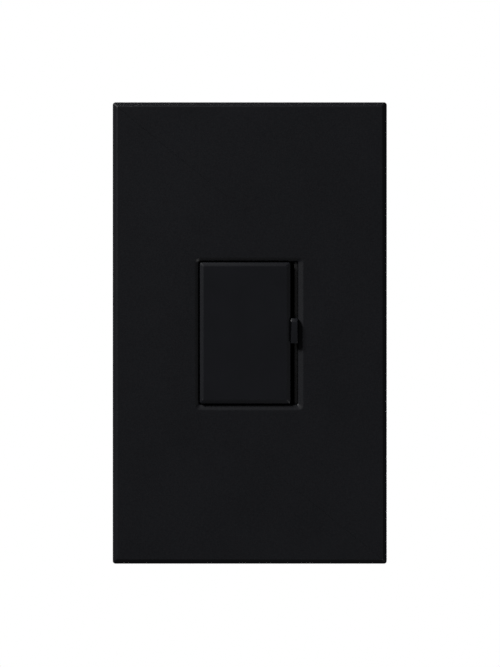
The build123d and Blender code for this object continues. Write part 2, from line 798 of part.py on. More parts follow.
with BuildPart() as switch_base:
    slab(case_spot, switch_inside, board_front, switch_width, switch_height)
    slab(case_spot, switch_inside, strip_rear, case_inner_width, case_inner_height, Mode.SUBTRACT)
    for side in (-1, 1):
        ledge_x = plunger_x + side * (case_inner_width - switch_ledge) / 2
        slab([(ledge_x, switch_z)], shelf_rear, strip_rear, switch_ledge, case_inner_height)
    cross_rod(case_left, case_right, pivot_y, pivot_z, arm_pin_radius + seat, Mode.SUBTRACT)
    slab(strip_tail_spot, strip_rear, board_front, *strip_tail_hole, Mode.SUBTRACT)
    slab(bracket_tail_spot, strip_rear, board_front, *bracket_tail_hole, Mode.SUBTRACT)
keep(switch_base.part, "switch_base")

with BuildPart() as switch_cover:
    slab(case_spot, switch_front, switch_inside, switch_width, switch_height)
    slab(plunger_spot, switch_front, switch_inside, plunger_hole, plunger_hole, Mode.SUBTRACT)
keep(switch_cover.part, "switch_cover")

with BuildPart() as switch_shelf:
    slab(case_spot, shelf_front, shelf_rear, case_inner_width - 2 * running,
         case_inner_height - 2 * running)
    rod(plunger_spot, shelf_front, shelf_rear, plunger_tip_radius + plunger_gap, Mode.SUBTRACT)
keep(switch_shelf.part, "switch_shelf")

# ---- Tap switch: swinging arm, its pivot, and the two contacts -------------------------------
arm_top = contact_z + arm_overhang
arm_left = plunger_x - arm_width / 2
arm_right = plunger_x + arm_width / 2

with BuildPart() as contact_arm:
    slab([(plunger_x, (pivot_z + arm_top) / 2)], arm_front, moving_contact_front,
         arm_width, arm_top - pivot_z)
    cross_rod(arm_left, arm_right, pivot_y, pivot_z, arm_hub_radius)
    cross_rod(arm_left, arm_right, pivot_y, pivot_z, arm_pin_radius + running, Mode.SUBTRACT)
keep(contact_arm.part, "contact_arm")

with BuildPart() as contact_pivot_pin:
    cross_rod(case_left + seat, case_right - seat, pivot_y, pivot_z, arm_pin_radius)
keep(contact_pivot_pin.part, "contact_pivot_pin")

with BuildPart() as moving_contact:
    rod([(plunger_x, contact_z)], moving_contact_front, moving_contact_rear, contact_radius)
keep(moving_contact.part, "moving_contact")

with BuildPart() as fixed_contact:
    rod([(plunger_x, contact_z)], fixed_contact_front, strip_front, contact_radius)
keep(fixed_contact.part, "fixed_contact")

with BuildPart() as fixed_contact_strip:
    slab(strip_spot, strip_front, strip_rear, strip_width, strip_length)
    slab(strip_tail_spot, strip_rear, tail_end, tail_width, tail_thick)
keep(fixed_contact_strip.part, "fixed_contact_strip")

with BuildPart() as arm_bracket:
    slab(bracket_tail_spot, shelf_rear + running, strip_rear, bracket_thick, 2 * bracket_half)
    slab(bracket_tail_spot, strip_rear, tail_end, bracket_thick, tail_width)
    cross_rod(bracket_x - bracket_thick / 2, bracket_x + bracket_thick / 2, pivot_y, pivot_z,
              arm_pin_radius + seat, Mode.SUBTRACT)
keep(arm_bracket.part, "arm_bracket")

# ---- Triac, riveted to the yoke through a thin insulating pad --------------------------------
tab_front = heat_pad_thick
tab_rear = tab_front + triac_tab_thick
tab_middle = triac_low + triac_tab_length / 2
triac_lead_y = tab_rear + triac_body_thick / 2

with BuildPart() as heat_pad:
    slab([(triac_x, tab_middle)], 0, heat_pad_thick, triac_tab_width + 2 * heat_pad_margin,
         triac_tab_length + 2 * heat_pad_margin)
    rod(rivet_spot, 0, heat_pad_thick, rivet_radius + seat, Mode.SUBTRACT)
keep(heat_pad.part, "heat_pad")

with BuildPart() as triac_tab:
    slab([(triac_x, tab_middle)], tab_front, tab_rear, triac_tab_width, triac_tab_length)
    rod(rivet_spot, tab_front, tab_rear, rivet_radius + seat, Mode.SUBTRACT)
keep(triac_tab.part, "triac_tab")

with BuildPart() as triac_body:
    slab([(triac_x, triac_low + triac_body_length / 2)], tab_rear, tab_rear + triac_body_thick,
         triac_tab_width, triac_body_length)
    chamfer(triac_body.edges().group_by(Axis.Y)[-1], length=triac_lead_thick)
keep(triac_body.part, "triac_body")

with BuildPart() as triac_leads:
    for lead_x in triac_lead_xs:
        with BuildSketch(Plane.YZ.offset(lead_x - triac_lead_width / 2)):
            with BuildLine():
                FilletPolyline(
                    (triac_lead_y, triac_low),
                    (triac_lead_y, triac_lead_z),
                    (tail_end, triac_lead_z),
                    radius=triac_lead_bend,
                )
            trace(line_width=triac_lead_thick)
        extrude(amount=triac_lead_width)
    slab([(triac_x, triac_low + triac_lead_width)], triac_lead_y - triac_lead_width,
         triac_lead_y + triac_lead_width, triac_tab_width, 2 * triac_lead_width, Mode.SUBTRACT)
keep(triac_leads.part, "triac_leads")

with BuildPart() as triac_rivet:
    rod(rivet_spot, yoke_front, tab_rear, rivet_radius)
    with Locations(*spots(yoke_front, rivet_spot)):
        Cone(rivet_radius, rivet_head_radius, rivet_head_radius - rivet_radius, align=inward)
    rod(rivet_spot, tab_rear, tab_rear + rivet_head_thick, rivet_head_radius)
keep(triac_rivet.part, "triac_rivet")

# ---- Choke: ferrite ring, copper winding and the pad it stands on ----------------------------
choke_start = board_rear + choke_pad_thick + choke_wire + seat
choke_end = housing_inside - choke_top_gap
turn_width = choke_outer - choke_inner + choke_wire + 2 * seat
turn_height = choke_end - choke_start + choke_wire + 2 * seat
turn_center = (choke_outer + choke_inner) / 2
choke_middle = (choke_start + choke_end) / 2
choke_lead_reach = choke_outer + choke_wire / 2 + seat
choke_lead_spots = [(choke_x + side * choke_lead_reach, choke_z) for side in (-1, 1)]

with BuildPart() as choke_core:
    rod([(choke_x, choke_z)], choke_start, choke_end, choke_outer)
    rod([(choke_x, choke_z)], choke_start, choke_end, choke_inner, Mode.SUBTRACT)
keep(choke_core.part, "choke_core")

with BuildPart() as one_turn:
    with BuildLine(Plane.XZ) as turn_path:
        FilletPolyline(
            (turn_center - turn_width / 2, -turn_height / 2),
            (turn_center + turn_width / 2, -turn_height / 2),
            (turn_center + turn_width / 2, turn_height / 2),
            (turn_center - turn_width / 2, turn_height / 2),
            radius=choke_wire * 0.6,
            close=True,
        )
    with BuildSketch(Plane(origin=turn_path.line @ 0, z_dir=turn_path.line % 0)):
        Circle(choke_wire / 2)
    sweep()

with BuildPart() as choke_winding:
    with Locations(*spots(choke_middle, [(choke_x, choke_z)])):
        with PolarLocations(0, choke_turns):
            add(one_turn.part)
    rod(choke_lead_spots, board_front, choke_start, choke_wire / 2)
keep(choke_winding.part, "choke_winding")

with BuildPart() as choke_pad:
    rod([(choke_x, choke_z)], board_rear, choke_start - choke_wire - seat, choke_pad_radius)
keep(choke_pad.part, "choke_pad")

# ---- Small components, and the leads that hold them on the board -----------------------------
filter_end = housing_inside - filter_top_gap
filter_lead_spots = [(side * filter_lead_spread / 2, filter_z) for side in (-1, 1)]
timing_rear = board_front - seat
resistor_y = board_front - resistor_radius - seat
diac_y = board_front - diac_radius - seat

with BuildPart() as filter_capacitor:
    slab([(0, filter_z)], board_rear, filter_end, filter_width, filter_height)
    fillet(filter_capacitor.edges().group_by(Axis.Y)[-1], radius=lead_bend)
keep(filter_capacitor.part, "filter_capacitor")

with BuildPart() as timing_capacitor:
    slab([(timing_x, timing_z)], timing_rear - timing_depth, timing_rear, timing_width, timing_height)
    fillet(timing_capacitor.edges().group_by(Axis.Y)[0], radius=lead_bend)
keep(timing_capacitor.part, "timing_capacitor")

with BuildPart() as resistors:
    for row in resistor_rows:
        with Locations((resistor_x, resistor_y, row)):
            Cylinder(resistor_radius, resistor_length)
    fillet(resistors.edges().filter_by(GeomType.CIRCLE), radius=lead_radius)
keep(resistors.part, "resistors")

with BuildPart() as diac:
    with Locations((diac_x, diac_y, diac_z)):
        Cylinder(diac_radius, diac_length)
keep(diac.part, "diac")

axial_parts = [(resistor_x, resistor_y, row, resistor_length) for row in resistor_rows]
axial_parts.append((diac_x, diac_y, diac_z, diac_length))
axial_lead_spots = [
    (x, z + end * (length / 2 + lead_reach)) for x, _, z, length in axial_parts for end in (-1, 1)
]
timing_lead_spots = [(timing_x + end * timing_lead_spread / 2, timing_z) for end in (-1, 1)]

with BuildPart() as component_leads:
    for x, y, z, length in axial_parts:
        for end in (-1, 1):
            with BuildLine(Plane.YZ.offset(x)) as lead_path:
                FilletPolyline(
                    (y, z + end * length / 2),
                    (y, z + end * (length / 2 + lead_reach)),
                    (tail_end, z + end * (length / 2 + lead_reach)),
                    radius=lead_bend,
                )
            with BuildSketch(Plane(origin=lead_path.line @ 0, z_dir=lead_path.line % 0)):
                Circle(lead_radius)
            sweep()
    rod(timing_lead_spots, timing_rear, tail_end, lead_radius)
    rod(filter_lead_spots, board_front, board_rear, lead_radius)
keep(component_leads.part, "component_leads")

# ---- Circuit board ---------------------------------------------------------------------------
with BuildPart() as circuit_board:
    slab([(0, 0)], board_front, board_rear, board_width, board_height)
    rod(boss_spots, board_front, board_rear, boss_radius + clear, Mode.SUBTRACT)
    rod(board_screw_spots, board_front, board_rear, board_screw_radius + seat, Mode.SUBTRACT)
    rod(pot_pin_spots, board_front, board_rear, pot_pin_radius + seat, Mode.SUBTRACT)
    rod(axial_lead_spots + timing_lead_spots + filter_lead_spots, board_front, board_rear,
        lead_radius + seat, Mode.SUBTRACT)
    rod(choke_lead_spots, board_front, board_rear, choke_wire / 2 + seat, Mode.SUBTRACT)
    slab([(x, triac_lead_z) for x in triac_lead_xs], board_front, board_rear,
         triac_lead_width + 2 * seat, triac_lead_thick + 2 * seat, Mode.SUBTRACT)
    slab(strip_tail_spot, board_front, board_rear, *strip_tail_hole, Mode.SUBTRACT)
    slab(bracket_tail_spot, board_front, board_rear, *bracket_tail_hole, Mode.SUBTRACT)
    slab([(side * board_width / 2, z) for side, z in terminal_sides], board_front, board_rear,
         board_width - 2 * notch_floor + 2 * seat, terminal_tail_width + 2 * seat, Mode.SUBTRACT)
keep(circuit_board.part, "circuit_board")

with BuildPart() as board_screws:
    rod(board_screw_spots, board_front - board_head_thick, board_front, board_head_radius)
    fillet(board_screws.edges().group_by(Axis.Y)[0], radius=board_head_thick / 2)
    rod(board_screw_spots, board_front, board_front + board_screw_length, board_screw_radius)
    cross_recess(board_screw_spots, board_front - board_head_thick, board_head_radius / 2)
keep(board_screws.part, "board_screws")

# ---- Back housing: a deep tray with screw bosses and three open terminal pockets -------------
pocket_spots = [(side * housing_width / 2, z) for side, z in terminal_sides]
gauge_spot = [(0, housing_height / 2 - gauge_length)]

with BuildPart() as back_housing:
    with BuildSketch(facing(0)):
        RectangleRounded(housing_width, housing_height, housing_corner)
    extrude(amount=-housing_depth)
    chamfer(back_housing.edges().group_by(Axis.Y)[-1], length=housing_edge)
    with BuildSketch(facing(0)):
        RectangleRounded(housing_width - 2 * housing_wall, housing_height - 2 * housing_wall,
                         housing_corner - housing_wall)
    extrude(amount=-housing_inside, mode=Mode.SUBTRACT)
    rod(boss_spots, 0, housing_inside, boss_radius)
    rod(board_screw_spots, board_rear, housing_inside, board_post_radius)
    slab(pocket_spots, notch_start - housing_wall, housing_inside, 2 * (notch_depth + housing_wall),
         notch_width + 2 * housing_wall)
    with BuildSketch(facing(housing_depth)):
        RectangleRounded(housing_width, housing_height, housing_corner)
    extrude(amount=housing_depth, mode=Mode.INTERSECT)
    slab(pocket_spots, notch_start, housing_depth, 2 * notch_depth, notch_width, Mode.SUBTRACT)
    rod(boss_spots, 0, housing_screw_length, housing_screw_radius + seat, Mode.SUBTRACT)
    rod(board_screw_spots, board_rear, board_front + board_screw_length + clear,
        board_screw_radius + seat, Mode.SUBTRACT)
    for side, z in terminal_sides:
        cross_rod(side * (notch_floor - terminal_screw_reach - clear), side * notch_floor,
                  terminal_y, z, terminal_screw_radius + clear, Mode.SUBTRACT)
        slab([(side * terminal_tail_x, z)], notch_start - housing_wall, notch_start,
             terminal_plate_thick + 2 * seat, terminal_tail_width + 2 * seat, Mode.SUBTRACT)
    slab(gauge_spot, housing_depth - gauge_depth, housing_depth, gauge_width, gauge_length,
         Mode.SUBTRACT)
keep(back_housing.part, "back_housing")

housing_screws = countersunk_screws(
    boss_spots, yoke_front, housing_screw_radius, housing_head_radius, housing_screw_length)
keep(housing_screws, "housing_screws")

# ---- Line terminals: brass plate, clamp and screw in each pocket -----------------------------
plate_end = terminal_y + terminal_head_radius + seat
clamp_start = terminal_y - terminal_head_radius

with BuildPart() as terminal_plates:
    for side, z in terminal_sides:
        tail_spot = [(side * terminal_tail_x, z)]
        slab(tail_spot, notch_start, plate_end, terminal_plate_thick, terminal_plate_width)
        slab(tail_spot, board_front, notch_start, terminal_plate_thick, terminal_tail_width)
        cross_rod(side * notch_floor, side * (notch_floor + terminal_plate_thick), terminal_y, z,
                  terminal_screw_radius + seat, Mode.SUBTRACT)
keep(terminal_plates.part, "terminal_plates")

with BuildPart() as terminal_clamps:
    for side, z in terminal_sides:
        slab([(side * (clamp_inner + clamp_thick / 2), z)], clamp_start, plate_end,
             clamp_thick, clamp_width)
        cross_rod(side * clamp_inner, side * terminal_head_inner, terminal_y, z,
                  terminal_screw_radius + seat, Mode.SUBTRACT)
keep(terminal_clamps.part, "terminal_clamps")

with BuildPart() as terminal_screws:
    for side, z in terminal_sides:
        head_end = side * (terminal_head_inner + terminal_head_thick)
        cross_rod(side * terminal_head_inner, head_end, terminal_y, z, terminal_head_radius)
        cross_rod(side * (notch_floor - terminal_screw_reach), side * terminal_head_inner,
                  terminal_y, z, terminal_screw_radius)
        with Locations((head_end, terminal_y, z)):
            Box(2 * recess_depth, 2 * terminal_head_radius, recess_width, mode=Mode.SUBTRACT)
keep(terminal_screws.part, "terminal_screws")
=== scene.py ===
import math

import bmesh
import bpy
from mathutils import Matrix, Vector


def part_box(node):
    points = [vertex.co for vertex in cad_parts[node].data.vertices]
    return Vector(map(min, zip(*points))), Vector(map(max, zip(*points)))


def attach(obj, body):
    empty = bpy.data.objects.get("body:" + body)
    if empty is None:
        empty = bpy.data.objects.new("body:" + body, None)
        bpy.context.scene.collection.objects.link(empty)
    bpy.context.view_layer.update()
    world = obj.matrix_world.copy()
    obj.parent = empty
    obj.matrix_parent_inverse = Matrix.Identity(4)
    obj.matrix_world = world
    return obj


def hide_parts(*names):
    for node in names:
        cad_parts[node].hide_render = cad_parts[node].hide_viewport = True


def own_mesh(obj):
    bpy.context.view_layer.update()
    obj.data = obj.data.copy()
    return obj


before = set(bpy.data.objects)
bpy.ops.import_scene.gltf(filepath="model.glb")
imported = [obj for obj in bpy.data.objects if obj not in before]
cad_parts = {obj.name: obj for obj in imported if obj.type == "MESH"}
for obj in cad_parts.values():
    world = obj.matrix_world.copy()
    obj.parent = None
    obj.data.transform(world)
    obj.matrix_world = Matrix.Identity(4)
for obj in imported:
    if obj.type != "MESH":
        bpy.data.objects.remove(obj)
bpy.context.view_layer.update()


# ---- Cover plate ------------------------------------------------------------------------------
# The flat plate that hides everything else: one moulding in near-black polycarbonate with a fine
# spark-eroded grain, chamfered all round, with a window that flares towards the room. It snaps
# over the frame behind it, so no screw shows.


def empty_finish(name, metallic, specular):
    """A new material, its shader and the place on the piece that its patterns are laid on."""
    material = bpy.data.materials.new(name)
    material.use_nodes = True
    tree = material.node_tree
    shader = tree.nodes["Principled BSDF"]
    shader.inputs["Metallic"].default_value = metallic
    shader.inputs["Specular IOR Level"].default_value = specular
    place = tree.nodes.new("ShaderNodeTexCoord").outputs["Object"]
    return material, tree, shader, place


def grain(tree, place, size, detail, stretch=(1, 1, 1)):
    """A noise pattern whose features are about size metres across, drawn out by stretch."""
    mapping = tree.nodes.new("ShaderNodeMapping")
    mapping.inputs["Scale"].default_value = stretch
    tree.links.new(place, mapping.inputs["Vector"])
    pattern = tree.nodes.new("ShaderNodeTexNoise")
    pattern.inputs["Scale"].default_value = 1 / size
    pattern.inputs["Detail"].default_value = detail
    tree.links.new(mapping.outputs["Vector"], pattern.inputs["Vector"])
    return pattern.outputs["Fac"]


pattern_low, pattern_high = 0.3, 0.7


def two_tones(tree, pattern, shader, dark, light):
    """The surface colour wanders from dark to light with a pattern."""
    ramp = tree.nodes.new("ShaderNodeValToRGB")
    low, high = ramp.color_ramp.elements
    low.position, high.position = pattern_low, pattern_high
    low.color, high.color = (*dark, 1), (*light, 1)
    tree.links.new(pattern, ramp.inputs["Fac"])
    tree.links.new(ramp.outputs["Color"], shader.inputs["Base Color"])


def uneven_polish(tree, pattern, shader, smooth, rough):
    """The polish wanders from smooth to rough with a pattern."""
    spread = tree.nodes.new("ShaderNodeMapRange")
    spread.inputs["From Min"].default_value = pattern_low
    spread.inputs["From Max"].default_value = pattern_high
    spread.inputs["To Min"].default_value = smooth
    spread.inputs["To Max"].default_value = rough
    tree.links.new(pattern, spread.inputs["Value"])
    tree.links.new(spread.outputs["Result"], shader.inputs["Roughness"])


def relief(tree, heights, shader):
    """Bumps laid one over the other; heights is a list of (pattern, height in metres)."""
    normal = None
    for pattern, height in heights:
        bump = tree.nodes.new("ShaderNodeBump")
        bump.inputs["Distance"].default_value = height
        tree.links.new(pattern, bump.inputs["Height"])
        if normal:
            tree.links.new(normal, bump.inputs["Normal"])
        normal = bump.outputs["Normal"]
    tree.links.new(normal, shader.inputs["Normal"])


def moulded(name, dark, light, polish, grain_size, grain_height, patch_size, specular=0.5):
    """Moulded plastic or the like: cloudy colour, uneven polish and the grain of its mould."""
    material, tree, shader, place = empty_finish(name, metallic=0, specular=specular)
    clouds = grain(tree, place, patch_size, detail=4)
    two_tones(tree, clouds, shader, dark, light)
    fine = grain(tree, place, grain_size, detail=3)
    uneven_polish(tree, fine, shader, *polish)
    relief(tree, [(clouds, grain_height), (fine, grain_height)], shader)
    return material


merge_reach = 0.000002
flat_within = math.radians(0.5)
rounded_above = math.radians(15)
sharp_above = math.radians(40)
flat_area = 0.00002


def softened(node, name, rounding, cuts=()):
    """A copy of a CAD piece with its triangles merged and its edges rounded.
    cuts are planes (point, normal); what lies beyond each is cut off and closed."""
    built = bmesh.new()
    built.from_mesh(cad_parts[node].data)
    bmesh.ops.remove_doubles(built, verts=built.verts, dist=merge_reach)
    for point, normal in cuts:
        parts = built.verts[:] + built.edges[:] + built.faces[:]
        bmesh.ops.bisect_plane(built, geom=parts, plane_co=point, plane_no=normal, clear_outer=True)
        bmesh.ops.holes_fill(built, edges=built.edges)
    bmesh.ops.dissolve_limit(built, angle_limit=flat_within, verts=built.verts, edges=built.edges)
    mesh = bpy.data.meshes.new(name)
    built.to_mesh(mesh)
    built.free()
    piece = bpy.data.objects.new(name, mesh)
    bpy.context.collection.objects.link(piece)
    bevel = piece.modifiers.new("rounded_edges", "BEVEL")
    bevel.width = rounding
    bevel.segments = 3
    bevel.limit_method = "ANGLE"
    bevel.angle_limit = rounded_above
    bevel.use_clamp_overlap = False
    piece.data = made_mesh(piece)
    piece.modifiers.remove(bevel)
    piece.data.set_sharp_from_angle(angle=sharp_above)
    for face in piece.data.polygons:
        face.use_smooth = face.area < flat_area
    return piece


def made_mesh(piece):
    """The mesh that a piece's modifiers make."""
    bpy.context.view_layer.update()
    return bpy.data.meshes.new_from_object(piece.evaluated_get(bpy.context.evaluated_depsgraph_get()))


def finished(piece, body, material, slot, *nodes):
    """Gives a piece its material, the body it rides on and the CAD nodes it stands for."""
    piece.data.materials.clear()
    piece.data.materials.append(material)
    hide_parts(*nodes)
    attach(piece, body)


plate_black = moulded(
    "plate_black",
    dark=(0.0048, 0.0052, 0.0073), light=(0.0062, 0.0067, 0.0091), polish=(0.42, 0.55),
    grain_size=0.00022, grain_height=0.000012, patch_size=0.012, specular=0.35,
)
cover_plate = softened("wall_plate", "cover_plate", rounding=0.00016)
finished(cover_plate, "frame", plate_black, "black_plastic", "wall_plate")


# ---- Tap pad ----------------------------------------------------------------------------------
# The large pad that is tapped to switch: a hollow moulding in the same black, a shade finer in
# its grain, with bevelled edges. Clips behind its top edge snap over a steel hinge pin.

pad_black = moulded(
    "pad_black",
    dark=(0.0061, 0.0066, 0.0090), light=(0.0077, 0.0083, 0.0112), polish=(0.38, 0.50),
    grain_size=0.00018, grain_height=0.000010, patch_size=0.009, specular=0.35,
)
tap_pad = softened("rocker_pad", "tap_pad", rounding=0.00014)
finished(tap_pad, "rocker", pad_black, "black_plastic_pad", "rocker_pad")


# ---- Slide knob and its lever -----------------------------------------------------------------
# The narrow knob beside the pad that sets the level: moulded in the pad's black with a chamfered
# top edge, pressed on a zinc-plated steel lever that reaches through the slot to the control.


tarnish_size = 0.006
streak_stretch = 0.03


def drawn_metal(name, dark, light, polish, streak, along, depth):
    """Bare or plated metal: fine streaks along one axis, a cloudy tarnish and an uneven polish."""
    material, tree, shader, place = empty_finish(name, metallic=1, specular=0.5)
    clouds = grain(tree, place, tarnish_size, detail=5)
    two_tones(tree, clouds, shader, dark, light)
    stretch = [1.0, 1.0, 1.0]
    stretch["xyz".index(along)] = streak_stretch
    lines = grain(tree, place, streak, detail=3, stretch=stretch)
    uneven_polish(tree, lines, shader, *polish)
    relief(tree, [(lines, depth), (clouds, depth)], shader)
    return material


def refinished(material, *nodes):
    """CAD pieces that keep their shape and get a material."""
    for node in nodes:
        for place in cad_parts[node].material_slots:
            place.material = material


slide_knob = softened("slider_knob", "slide_knob", rounding=0.00012)
finished(slide_knob, "slider", pad_black, "black_plastic_pad", "slider_knob")
zinc_plate = drawn_metal(
    "zinc_plate",
    dark=(0.50, 0.50, 0.47), light=(0.66, 0.66, 0.63), polish=(0.28, 0.42),
    streak=0.0003, along="z", depth=0.000004,
)
refinished(zinc_plate, "slider_lever")


# ---- Bezel and snap-on frame ------------------------------------------------------------------
# Two flat black mouldings behind the plate: the bezel carries the pad's hinge and closes the
# window around it, and the frame is screwed to the yoke for the plate to snap on.

frame_black = moulded(
    "frame_black",
    dark=(0.010, 0.010, 0.011), light=(0.014, 0.014, 0.015), polish=(0.45, 0.60),
    grain_size=0.00030, grain_height=0.000015, patch_size=0.015, specular=0.4,
)
snap_frame = softened("adapter_plate", "snap_frame", rounding=0.00012)
finished(snap_frame, "frame", frame_black, "frame_plastic", "adapter_plate")
window_bezel = softened("bezel", "window_bezel", rounding=0.00008)
finished(window_bezel, "frame", frame_black, "frame_plastic", "bezel")


# ---- Yoke -------------------------------------------------------------------------------------
# The aluminium strap that bolts to the wall box and cools the dimmer: stamped from 1.6 mm sheet,
# with rolling lines along its length, scored so its side fins can be snapped off.

rolled_aluminium = drawn_metal(
    "rolled_aluminium",
    dark=(0.62, 0.63, 0.64), light=(0.76, 0.77, 0.78), polish=(0.30, 0.48),
    streak=0.00035, along="z", depth=0.000005,
)
cooling_yoke = softened("yoke", "cooling_yoke", rounding=0.00014)
finished(cooling_yoke, "frame", rolled_aluminium, "yoke_aluminium", "yoke")


# ---- Box screws and frame screws --------------------------------------------------------------
# Two zinc-plated machine screws for the wall box, each held by a red fibre washer, and two short
# ones that hold the snap-on frame. The heads are pressed and the threads are rolled.


def tree_inputs(tree, **kinds):
    """Named inputs on a geometry tree."""
    tree.interface.new_socket("Geometry", in_out="INPUT", socket_type="NodeSocketGeometry")
    for name, kind in kinds.items():
        tree.interface.new_socket(name, in_out="INPUT", socket_type=kind)
    tree.interface.new_socket("Geometry", in_out="OUTPUT", socket_type="NodeSocketGeometry")
    return tree.nodes.new("NodeGroupInput").outputs


def math_node(tree, operation, first, second=None):
    """One sum in a geometry tree; first and second are sockets or numbers."""
    node = tree.nodes.new("ShaderNodeMath")
    node.operation = operation
    for socket, value in zip(node.inputs, (first, second)):
        if isinstance(value, (int, float)):
            socket.default_value = value
        elif value is not None:
            tree.links.new(value, socket)
    return node.outputs[0]


def placed_and_dressed(tree, shape, given):
    """Ends a tree: one shape on each point given, made real and given its material."""
    place = tree.nodes.new("GeometryNodeInstanceOnPoints")
    tree.links.new(given["Geometry"], place.inputs["Points"])
    tree.links.new(shape, place.inputs["Instance"])
    tree.links.new(given["Turn"], place.inputs["Rotation"])
    real = tree.nodes.new("GeometryNodeRealizeInstances")
    dress = tree.nodes.new("GeometryNodeSetMaterial")
    smooth = tree.nodes.new("GeometryNodeSetShadeSmooth")
    end = tree.nodes.new("NodeGroupOutput")
    tree.links.new(place.outputs["Instances"], real.inputs["Geometry"])
    tree.links.new(real.outputs["Geometry"], smooth.inputs["Geometry"])
    tree.links.new(smooth.outputs["Geometry"], dress.inputs["Geometry"])
    tree.links.new(given["Material"], dress.inputs["Material"])
    tree.links.new(dress.outputs["Geometry"], end.inputs["Geometry"])


steps_round = 20
rows_per_turn = 6


def thread_tree():
    """Threaded rods: each point gets a rod whose wall follows a rolled screw thread."""
    tree = bpy.data.node_groups.new("rolled_thread", "GeometryNodeTree")
    size = "NodeSocketFloat"
    given = tree_inputs(
        tree,
        Radius=size,
        Length=size,
        Pitch=size,
        Depth=size,
        Turn="NodeSocketRotation",
        Material="NodeSocketMaterial",
    )
    rod = tree.nodes.new("GeometryNodeMeshCylinder")
    rod.inputs["Vertices"].default_value = steps_round
    tree.links.new(given["Radius"], rod.inputs["Radius"])
    tree.links.new(given["Length"], rod.inputs["Depth"])
    turns = math_node(tree, "DIVIDE", given["Length"], given["Pitch"])
    rows = math_node(tree, "MULTIPLY", turns, rows_per_turn)
    tree.links.new(rows, rod.inputs["Side Segments"])
    place = tree.nodes.new("GeometryNodeInputPosition").outputs[0]
    split = tree.nodes.new("ShaderNodeSeparateXYZ")
    tree.links.new(place, split.inputs[0])
    x, y, z = split.outputs
    angle = math_node(tree, "DIVIDE", math_node(tree, "ARCTAN2", y, x), 2 * math.pi)
    phase = math_node(tree, "SUBTRACT", math_node(tree, "DIVIDE", z, given["Pitch"]), angle)
    wave = math_node(tree, "PINGPONG", phase, 0.5)
    sunk = math_node(tree, "MULTIPLY", math_node(tree, "MULTIPLY", wave, 2), given["Depth"])
    scale = math_node(tree, "SUBTRACT", 1, math_node(tree, "DIVIDE", sunk, given["Radius"]))
    joined = tree.nodes.new("ShaderNodeCombineXYZ")
    tree.links.new(math_node(tree, "MULTIPLY", x, scale), joined.inputs[0])
    tree.links.new(math_node(tree, "MULTIPLY", y, scale), joined.inputs[1])
    tree.links.new(z, joined.inputs[2])
    moved = tree.nodes.new("GeometryNodeSetPosition")
    tree.links.new(rod.outputs["Mesh"], moved.inputs["Geometry"])
    tree.links.new(joined.outputs[0], moved.inputs["Position"])
    placed_and_dressed(tree, moved.outputs["Geometry"], given)
    return tree


def grown(name, tree, points, **sizes):
    """A piece made by a geometry tree at the points given, with its sizes set."""
    mesh = bpy.data.meshes.new(name)
    mesh.from_pydata(points, [], [])
    piece = bpy.data.objects.new(name, mesh)
    bpy.context.collection.objects.link(piece)
    modifier = piece.modifiers.new(name, "NODES")
    modifier.node_group = tree
    for item in tree.interface.items_tree:
        if item.in_out == "INPUT" and item.name in sizes:
            modifier[item.identifier] = sizes[item.name]
    piece.data = made_mesh(piece)
    piece.modifiers.remove(modifier)
    return piece


def merged(name, *pieces):
    """Several pieces on one body made one piece; their meshes are kept as they are."""
    together = bmesh.new()
    for piece in pieces:
        together.from_mesh(piece.data)
        bpy.data.objects.remove(piece)
    mesh = bpy.data.meshes.new(name)
    together.to_mesh(mesh)
    together.free()
    result = bpy.data.objects.new(name, mesh)
    bpy.context.collection.objects.link(result)
    return result


rolled_thread = thread_tree()
along_y = (math.pi / 2, 0, 0)
thread_pitch = 0.000794


def screw_pair(name, node, rounding, head_end, thread_start, radius, depth):
    """The two screws of a CAD node, one above the other: pressed heads and rolled threads,
    which overlap from thread_start to head_end. depth is the thread's."""
    low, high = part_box(node)
    height = high.z - (high.x - low.x) / 2
    heads = softened(node, name + "_heads", rounding, cuts=[((0, head_end, 0), (0, 1, 0))])
    threads = grown(
        name + "_threads",
        rolled_thread,
        [(0, (high.y + thread_start) / 2, side * height) for side in (-1, 1)],
        Radius=radius,
        Length=high.y - thread_start,
        Pitch=thread_pitch,
        Depth=depth,
        Turn=along_y,
        Material=zinc_plate,
    )
    finished(merged(name, heads, threads), "frame", zinc_plate, "zinc_steel", node)


screw_pair(
    "wall_screws",
    "box_screws",
    rounding=0.00012,
    head_end=0.0002,
    thread_start=0.00016,
    radius=0.001753,
    depth=0.00036,
)
screw_pair(
    "frame_screws",
    "adapter_screws",
    rounding=0.0001,
    head_end=-0.0016,
    thread_start=-0.0017,
    radius=0.0017,
    depth=0.00034,
)

red_fibre = moulded(
    "red_fibre",
    dark=(0.27, 0.060, 0.035), light=(0.40, 0.12, 0.065), polish=(0.6, 0.8),
    grain_size=0.00025, grain_height=0.00002, patch_size=0.0015,
)
fibre_washers = softened("box_screw_washers", "fibre_washers", rounding=0.00006)
finished(fibre_washers, "frame", red_fibre, "fibre_washer", "box_screw_washers")


# ---- Ground screw -----------------------------------------------------------------------------
# The earth terminal: a hexagon-headed screw with a slot, dyed green over its plating, driven
# through a tab bent out of the yoke.

green_dye = drawn_metal(
    "green_dye",
    dark=(0.010, 0.12, 0.035), light=(0.020, 0.21, 0.06), polish=(0.30, 0.45),
    streak=0.0003, along="y", depth=0.000005,
)
earth_screw = softened("ground_screw", "earth_screw", rounding=0.00015)
finished(earth_screw, "frame", green_dye, "green_steel", "ground_screw")


# ---- Housing ----------------------------------------------------------------------------------
# The box behind the yoke that closes the works in: moulded in a dark thermoset with a coarse
# spark-eroded grain, open pockets for the terminals and a stripping gauge sunk in its back.

